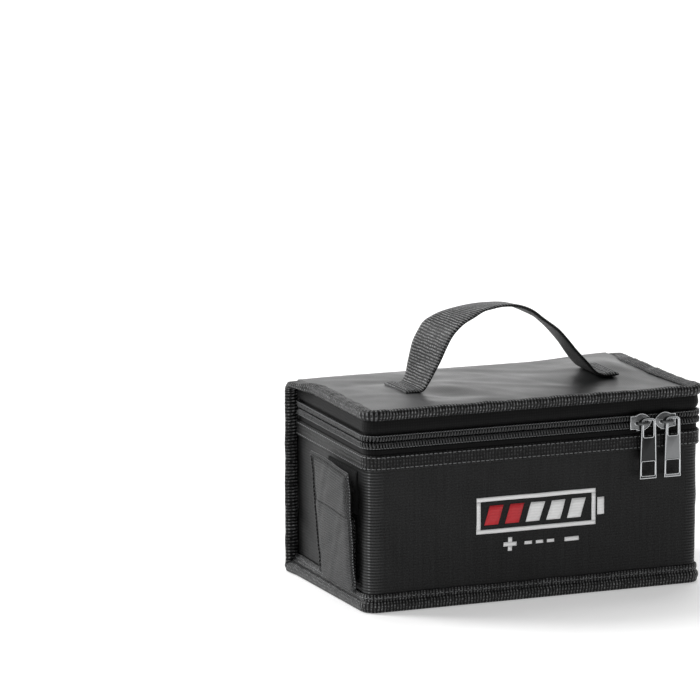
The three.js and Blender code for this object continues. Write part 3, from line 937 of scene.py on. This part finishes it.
# ---- zip ----
def build_zip_tapes():
    """Two tapes, each sewn to its side of the opening and stepped in behind the coil."""
    lower = [
        (-0.75, -9.6), (-0.05, -9.6), (-0.05, -4.4), (-1.55, -3.4), (-1.6, -0.3), (-2.2, -0.3),
        (-2.2, -3.6), (-0.8, -5.0),
    ]
    upper = [
        (-0.6, 13.5), (0.15, 13.5), (0.5, 11.0), (0.95, 8.6), (0.8, 6.6), (-0.1, 5.0), (-1.5, 4.2),
        (-1.6, 0.3), (-2.2, 0.3), (-2.2, 4.4), (-0.8, 5.6), (0.1, 8.6),
    ]
    for name, section, body in (("lower", lower, "tub"), ("upper", upper, "lid")):
        section = rounded_section(*section) + (0, ZIP_Z)
        tape = strip(f"zip_tape_{name}", WRAP, WRAP.lengths, section, ZIP_TAPE)
        place(tape, body, "zip_tape", f"{name}_zip_tape")


def build_coil(name, low, high, lean, body, node):
    """A coil of nylon wire along the zip, as a flattened helix."""
    pitch, wire, per_turn, sides = 1.74, 0.5, 10, 5
    proud, depth, squareness = 1.8, 3.0, 0.75
    middle, half = (low + high) / 2, (high - low) / 2 - wire
    reach = depth / 2 - wire
    turns = int((WRAP.total - 2) / pitch)
    angle = np.arange(turns * per_turn + 1) * 2 * pi / per_turn
    s = 1 + angle / (2 * pi) * pitch
    across_loop = np.sign(np.cos(angle)) * np.abs(np.cos(angle)) ** squareness
    along_loop = np.sign(np.sin(angle)) * np.abs(np.sin(angle)) ** squareness
    out, height = proud - depth / 2 + reach * across_loop, middle + lean * half * along_loop
    path = settle(WRAP.place(s, out, height))
    tangent = unit(np.gradient(path, axis=0))
    normal = WRAP.at(s)[1]
    axis = np.stack([-normal[:, 1], normal[:, 0], np.zeros(len(s))], -1)
    across = unit(np.cross(tangent, axis))
    other = np.cross(tangent, across)
    rings = path[:, None] + wire * circle(sides, across, other)
    place(add_tube(name, rings, NYLON), body, "coil_nylon", node)


build_zip_tapes()
build_coil("coil_lower", COIL_LOW, ZIP_Z - 0.1, -1, "tub", "lower_zip_coil")
build_coil("coil_upper", ZIP_Z + 0.1, COIL_HIGH, 1, "lid", "upper_zip_coil")
for name, height, body in (("lower", COIL_LOW + 0.3, "tub"), ("upper", COIL_HIGH - 0.3, "lid")):
    stitch_rows(f"coil_stitches_{name}", [seam(WRAP, 1.6, height)], body, length=1.3, pitch=1.74, width=0.55)


# ---- lining and base ----
def build_liner():
    """The tub's lining: one soft cup down the walls and over the base board."""
    top, floor, gap = extent("tub_liner")[1][2], extent("tub_liner")[0][2], 5.6
    s, z, in_port = with_port(LINER_LINE, floor + 3, top, 24)
    s = s[:-1]
    ss, zz = sheet_grid(s, z)
    puff = 0.5 * drift(ss, zz, size=70, seed=11) * smooth(zz, floor + 4, 30) * (1 - smooth(zz, 70, top))
    walls = LINER_LINE.place(ss, -gap - 0.5 - np.abs(puff), zz)
    ring = walls[:, 0]
    cup = [
        ring * (scale, scale, 0) + (0, 0, floor + lift)
        for scale, lift in ((0.05, 0.9), (0.3, 0.9), (0.6, 0.9), (0.9, 0.9), (0.985, 1.7))
    ]
    points = np.concatenate([np.stack(cup, 1), walls], 1)

    def in_hole(i, j):
        return j >= len(cup) and in_port(i, j - len(cup))

    liner = add_grid("tub_lining", points, LINING, closed_rows=True, skip=in_hole)
    bm = bmesh.new()
    bm.from_mesh(liner.data)
    bm.verts.ensure_lookup_table()
    bm.faces.new([bm.verts[i * points.shape[1]] for i in range(len(s))])
    bm.to_mesh(liner.data)
    bm.free()
    outward(liner)
    apply(liner, "SOLIDIFY", thickness=0.5 * MM, offset=0)
    place(liner, "tub", "lining", "tub_liner")


def panel(name, margin, tapered, z, sag, material, body, slot, node):
    """A flat cloth panel across the bag at height z, with a little sag."""
    y = np.linspace(FRONT + margin, BACK - margin, 40)
    across = np.linspace(-1, 1, 60)
    points = np.zeros((len(y), len(across), 3))
    for i, spot in enumerate(y):
        x = across * half_width(spot - margin if spot < 0 else spot, margin, tapered)
        dip = sag * drift(x, spot, size=80, seed=12) * smooth(SIDE - np.abs(x), 8, 30)
        points[i] = np.stack([x, np.full(len(x), spot), z + dip * smooth(BACK - abs(spot), 6, 24)], -1)
    cloth = add_grid(name, points, material)
    apply(cloth, "SOLIDIFY", thickness=0.6 * MM, offset=0)
    place(cloth, body, slot, node)


build_liner()
LID_LINER_Z = extent("lid_liner")[0][2] + 0.3
panel("lid_lining", 1.5, True, LID_LINER_Z, 0.25, LINING, "lid", "lining", "lid_liner")
panel("base_cloth", 0.3, False, 0.7, 0.1, WALL, "tub", "coated_cloth", "base_fabric")


# ---- handle ----
# The two edges of the carrying strap, as (x, z) points. It is worn out of true, so they differ.
HANDLE_BACK = [
    (-62, 115.9), (-55, 116), (-51.5, 116.6), (-49, 120), (-47, 128.6), (-44, 140), (-40.7, 146),
    (-37.6, 150.4), (-31, 154), (-25, 156), (-12, 158.2), (0.7, 158.8), (13, 158), (24.7, 153.8),
    (30.5, 151), (36.3, 146.4), (42.2, 140.6), (48.3, 133.5), (52.1, 128), (56.4, 122.5), (60.9, 118.6),
    (65.4, 117.8), (72.4, 118),
]
HANDLE_FRONT = [
    (-62, 115.7), (-55, 115.8), (-51.5, 116.4), (-48.5, 120), (-44.5, 126.5), (-40.7, 133),
    (-38, 138.5), (-34.5, 145), (-31.4, 149), (-26, 153.6), (-20, 156.7), (-13.7, 160), (-7.4, 161.4),
    (-1, 162.3), (8.3, 161.6), (17.1, 158.3), (25.8, 151.7), (34.4, 145.2), (40.3, 138.8),
    (46.2, 131.8), (52.5, 125.4), (57.9, 119.6), (62.4, 117.4), (66.4, 117), (72.4, 117.2),
]


def resample(points, count):
    """Points evenly spaced along a smooth curve through the given ones."""
    p = np.array(points, float)
    t = running(np.linalg.norm(np.diff(p, axis=0), axis=1) ** 0.5)
    slopes = np.gradient(p, t, axis=0)
    fine = np.linspace(0, t[-1], 900)
    k = np.clip(np.searchsorted(t, fine, "right") - 1, 0, len(t) - 2)
    h = t[k + 1] - t[k]
    x = ((fine - t[k]) / h)[:, None]
    h = h[:, None]
    curve = (
        (2 * x**3 - 3 * x**2 + 1) * p[k] + (x**3 - 2 * x**2 + x) * h * slopes[k]
        + (3 * x**2 - 2 * x**3) * p[k + 1] + (x**3 - x**2) * h * slopes[k + 1]
    )
    lengths = path_lengths(curve)
    return along(lengths, curve, np.linspace(0, lengths[-1], count))


def build_handle():
    """The carrying strap, one piece with the two hemmed ends that are sewn down on the lid."""
    count, width, thick, hem = 150, 32.0, 1.9, 11
    near, far = resample(HANDLE_FRONT, count), resample(HANDLE_BACK, count)
    across = np.linspace(-1, 1, 15)
    share = ((across + 1) / 2)[None, :, None]
    edges = near[:, None] * (1 - share) + far[:, None] * share
    y = np.broadcast_to(across * width / 2, edges.shape[:2])
    centre = np.stack([edges[..., 0], y, edges[..., 1]], -1)
    normal = unit(np.cross(np.gradient(centre, axis=0), np.gradient(centre, axis=1)))
    spacing = 1.75  # the strap is thicker over its hems, and thinner at its very ends
    from_end = np.minimum(np.arange(count), np.arange(count)[::-1]) * spacing
    fold = 1 + 0.45 * (1 - smooth(from_end, hem - 1.5, hem)) - 0.35 * (1 - smooth(from_end, 0, 1.2))
    edge = np.sqrt(np.clip(1.0 - np.abs(across) ** 10, 0.12, 1))[None, :, None] * fold[:, None, None]
    top = centre + normal * thick / 2 * edge
    under = centre - normal * thick / 2 * edge
    loop = np.concatenate([top, under[:, ::-1]], 1)
    strap = add_tube("handle_strap", loop, WEBBING)
    nodes = ("handle_webbing", "handle_end_left", "handle_end_right")
    bend_low, bend_high = 117.5, 136.0  # the heights of the handle's feet, given to bend()
    bend(strap, "lid", "handle", bend_low, bend_high, "webbing", *nodes)
    rows = []  # a box with a diagonal on each foot, in (station, column) steps
    for first, last in ((1, 5), (count - 2, count - 6)):
        box = [(first, 1), (first, 13), (last, 13), (last, 1), (first, 1), (last, 13)]
        path = []
        for i, j in polyline(box, 16):
            row, low, part = top[int(round(i))], int(j), j % 1
            path.append(row[low] * (1 - part) + row[min(low + 1, 14)] * part)
        rows.append((np.array(path) + (0, 0, 0.05), (0, 0, 1)))
    stitch_rows("handle_stitches", rows, "lid", length=1.7, pitch=2.4, width=0.5)


build_handle()


# ---- flap over the cable port ----
FLAP_JOINT = next(j for j in frame["joints"] if j["name"] == "flap_fold")
FLAP_HINGE = np.array(FLAP_JOINT["pos_m"]) / MM
FLAP_AXIS = -np.array(FLAP_JOINT["axis"])
FLAP_LEAN = radians(-FLAP_JOINT["range_deg"][0])
FLAP_HALF, FLAP_TOP = 29.0, 70.4


def on_flap(x, y, z):
    """Points of the bag from points of the flap: x towards the bag, y along its hinge, z up it.

    The flap's front corner is stretched forward and hangs a little.
    """
    forward = smooth(-np.asarray(y, float), -10, FLAP_HALF) * smooth(z, 10, FLAP_TOP)
    y, z = y - 2.6 * forward, z - 2.2 * forward
    c, s = cos(FLAP_LEAN), sin(FLAP_LEAN)
    out, up = c * x - s * z, s * x + c * z
    ax, ay = FLAP_AXIS[:2]
    return np.stack(np.broadcast_arrays(ay * out + ax * y, ay * y - ax * out, up), -1) + FLAP_HINGE


def flap_curl(y, z):
    """How far the flap bends away from flat."""
    return 0.4 * smooth(z, 30, FLAP_TOP) * smooth(-y, -5, FLAP_HALF) + 0.5 * drift(y, z, size=60, seed=7)


def build_flap():
    """The padded flap, with a stitched edge and the outline of the hook patch sewn behind it."""
    y, z = np.linspace(-FLAP_HALF, FLAP_HALF, 59), np.linspace(-1.0, FLAP_TOP, 73)
    yy, zz = sheet_grid(y, z)
    margin, patch_low, patch_half, half_thick = 2.7, 42.4, 24.0, 0.85
    edge = np.minimum(FLAP_HALF - np.abs(yy), FLAP_TOP - zz)
    welt = 0.35 * ridge(edge, 1.2, 0.8) - 0.7 * ridge(edge, margin, 0.6)
    pillow = 0.6 * smooth(edge, 2.8, 9) + welt
    near_patch = np.abs(np.maximum(np.abs(yy) - patch_half, patch_low - zz))
    groove = 0.7 * ridge(near_patch, 0, 0.7) * smooth(edge, 2.5, 4) * (zz > patch_low - 2)
    rounding = 0.75 * (1 - smooth(edge, 0, 1.0))
    curl = flap_curl(yy, zz)
    front = on_flap(curl - half_thick - pillow + rounding + groove, yy, zz)
    back = on_flap(curl + half_thick - 0.6 * rounding, yy, zz)
    flap = slab("flap", front, back, FLAP_CLOTH)
    bend_low, bend_high = 10.8, 17.0  # the heights of the flap's fold, given to bend()
    bend(flap, "tub", "flap", bend_low, bend_high, "coated_cloth", "port_flap")

    side, top = FLAP_HALF - margin, FLAP_TOP - margin
    outlines = (
        [(-side, 1), (-side, top), (side, top), (side, 1)],
        [(-patch_half, top - 2), (-patch_half, patch_low), (patch_half, patch_low), (patch_half, top - 2)],
    )
    rows = []
    for corners in outlines:
        path = polyline(corners, 30)
        i, j = np.searchsorted(y, path[:, 0]), np.searchsorted(z, path[:, 1])
        spots = front[np.clip(i, 0, len(y) - 1), np.clip(j, 0, len(z) - 1)]
        rows.append((spots + (-0.45, 0, 0), (-1, 0, 0)))
    # the dark thread also paints the shade of the grooves that the stitches lie in
    stitch_rows("flap_stitches", rows, "flap", length=2.0, pitch=2.3, width=1.0, material=DARK_THREAD_AND_GROOVE_SHADE)
    edges = [(front[0, 2:], (0, -1, 0)), (front[1:, -1], (0, 0, 1))]
    stitch_rows("flap_edge_stitches", edges, "flap", length=1.0, pitch=1.75, width=0.55)


def tufts(yy, zz, edge, height):
    """How far a patch's ragged pile stands up, from the distance to the patch's edge."""
    ragged = 0.15 * drift(yy * 3.1, zz * 2.7, size=9, seed=13)
    return height * smooth(edge, 0, 1.2) + ragged * smooth(edge, 0.5, 2)


def build_patches():
    """The hook patch inside the flap and the loop patch on the wall."""
    low, high = extent("loop_patch")
    y, z = np.linspace(low[1], high[1], 49), np.linspace(low[2], high[2], 27)
    yy, zz = sheet_grid(y, z)
    edge = np.minimum(np.minimum(yy - low[1], high[1] - yy), np.minimum(zz - low[2], high[2] - zz))
    s = WALL_LINE.left_at(yy)
    outer = wall_points(s, zz, 0.35 + tufts(yy, zz, edge, 0.7))
    loops = slab("loop_patch_pile", outer, wall_points(s, zz, 0.2), LOOPS)
    place(loops, "tub", "hook_and_loop", "loop_patch")

    half, low, high = 24, 43.0, 68.0
    yy, zz = sheet_grid(np.linspace(-half, half, 49), np.linspace(low, high, 27))
    edge = np.minimum(half - np.abs(yy), np.minimum(zz - low, high - zz))
    face = flap_curl(yy, zz) + 0.9
    inner = on_flap(face + tufts(yy, zz, edge, 0.8), yy, zz)
    hooks = slab("hook_patch_pile", inner, on_flap(face, yy, zz), HOOKS)
    place(hooks, "flap", "hook_and_loop", "hook_patch")


build_flap()
build_patches()


# ---- metal ----
def cad_copy(node):
    """A CAD piece's shape as an edge-cleaned bmesh."""
    bm = bmesh.new()
    bm.from_mesh(frame["nodes"][node].data)
    bmesh.ops.remove_doubles(bm, verts=bm.verts, dist=1e-6)
    bmesh.ops.dissolve_limit(bm, angle_limit=radians(2), verts=bm.verts, edges=bm.edges)
    return bm


def finished_copy(node, name, bevel, material):
    """A copy of a CAD metal piece with its edges rounded, in its place."""
    mesh = bpy.data.meshes.new(name)
    bm = cad_copy(node)
    bm.to_mesh(mesh)
    bm.free()
    mesh.materials.append(material)
    obj = in_scene(name, mesh)
    apply(obj, "BEVEL", width=bevel * MM, segments=2, limit_method="ANGLE", angle_limit=radians(35))
    obj.data.polygons.foreach_set("use_smooth", [True] * len(obj.data.polygons))
    place(obj, frame["nodes"][node]["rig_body"], "gunmetal", node)


def front_outlines(node):
    """The closed outlines of a CAD piece's flat front face, in millimetres."""
    sharp, in_plane = radians(35), 5e-5
    bm = cad_copy(node)
    flat = [f for f in bm.faces if f.normal.y < -0.99]
    front_y = max(flat, key=lambda f: f.calc_area()).calc_center_median().y
    links = {}
    for e in bm.edges:
        if all(abs(v.co.y - front_y) < in_plane for v in e.verts) and e.calc_face_angle(0) > sharp:
            a, b = e.verts
            links.setdefault(a, []).append(b)
            links.setdefault(b, []).append(a)
    outlines = []
    while links:
        start = next(iter(links))
        path, here, before = [], start, None
        while here is not None and here in links:
            path.append(np.array(here.co) / MM)
            onward = [v for v in links.pop(here) if v is not before and v in links]
            before, here = here, (onward[0] if onward else None)
        if len(path) > 3:
            outlines.append(np.array(path))
    bm.free()
    return outlines


def highlight_rims(node, name, radius):
    """Rounded rims just inside the front outlines of a metal piece, painted light as a highlight along its
    edges.
    """
    sides, tuck, parts = 6, 0.8 * radius, []
    outlines = front_outlines(node)
    outer = max(outlines, key=lambda path: np.ptp(path, 0).max())
    for path in outlines:
        ahead, behind = unit(np.roll(path, -1, 0) - path), unit(path - np.roll(path, 1, 0))
        tangent = unit(ahead + behind)
        stretch = 1 / np.clip((tangent * ahead).sum(1), 0.6, 1)
        across = np.cross(tangent, (0, 1.0, 0)) * stretch[:, None]
        away = np.sign((across * (path - path.mean(0))).sum())
        path = path + tuck * across * (-away if path is outer else away)
        rim = path[:, None] + radius * circle(sides, across, np.array([[0, 1.0, 0]]))
        parts.append(add_tube(name, rim, HIGHLIGHT_METAL, closed=True))
    place(joined(parts), frame["nodes"][node]["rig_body"], "gunmetal")


# the left pull plate is painted dark and the right one lighter, as painted reflections
for side, face in (("left", PULL_METAL_PAINTED_DARK), ("right", PULL_METAL_PAINTED_LIGHT)):
    finished_copy(f"slider_{side}", f"slider_{side}_top", bevel=0.28, material=METAL)
    highlight_rims(f"slider_{side}", f"slider_{side}_rim", radius=0.35)
    finished_copy(f"slider_{side}_back", f"slider_{side}_under", bevel=0.28, material=METAL)
    finished_copy(f"pull_{side}", f"pull_{side}_plate", bevel=0.2, material=face)
    highlight_rims(f"pull_{side}", f"pull_{side}_rim", radius=0.32)

for name in ("front_board", "left_board", "right_board", "back_board", "base_board", "lid_board"):
    mesh = frame["nodes"][name].data
    mesh.materials.clear()
    mesh.materials.append(BOARD)


# ---- stage, lights and camera ----
FLOOR_GLOW, BACKDROP, CEILING, FRONT_LIGHT = 0.35, 1.0, 0.25, 0.3


def build_floor():
    """A plain white floor that glows a little, so that it stays white to the edge of the picture."""
    m = Shader("floor", Emission_Color=(1, 1, 1, 1), Emission_Strength=FLOOR_GLOW)
    mottle = m.ramp(m.noise(0.01, 2), (0.78,) * 3, (0.82,) * 3)
    material = m.finish(mottle, 0.7)
    reach = 4000
    corners = [(-reach, -reach, 0), (reach, -reach, 0), (reach, reach, 0), (-reach, reach, 0)]
    add_object("floor", corners, [(0, 1, 2, 3)], material, [c[:2] for c in corners])


def build_world():
    """A studio with a bright low backdrop behind the bag, a dim ceiling and a dark front."""
    world = bpy.data.worlds.new("studio")
    world.use_nodes = True
    sky = Nodes(world.node_tree)
    direction = sky.node("ShaderNodeTexCoord").outputs["Generated"]
    x, y, z = sky.node("ShaderNodeSeparateXYZ", {0: direction}).outputs
    height = sky.remap(z, 0.18, 0.45, BACKDROP, CEILING)
    backdrop = sky.math("MULTIPLY", sky.remap(y, -0.15, 0.5), height)
    sides = sky.math("ADD", backdrop, sky.remap(x, -1.0, -0.3, 0.35, 0.0))
    total = sky.math("ADD", sides, FRONT_LIGHT)
    sky.set(world.node_tree.nodes["Background"], {"Color": (1, 1, 1, 1), "Strength": total})
    bpy.context.scene.world = world


def add_light(name, direction, spread, strength):
    """An even soft light that comes from a direction and lights the whole floor alike."""
    light = bpy.data.lights.new(name, "SUN")
    light.angle = radians(spread)
    light.energy = strength
    in_scene(name, light).rotation_euler = Vector(direction).to_track_quat("Z", "Y").to_euler()


build_floor()
build_world()
bpy.context.scene.view_settings.view_transform = "Standard"
add_light("key", (-1.1, 1.0, 1.1), spread=24, strength=2.4)
add_light("top", (0.2, 0.8, 1.5), spread=40, strength=0.9)

camera = bpy.data.cameras.new("camera")
camera.sensor_width, camera.lens = 36, 231.9
eye = in_scene("camera", camera)
eye.location = (-1.061, -2.332, 0.596)
eye.rotation_euler = (radians(90 - 10.23), 0, radians(-22.605))  # 10.23 degrees down, from the left
bpy.context.scene.camera = eye
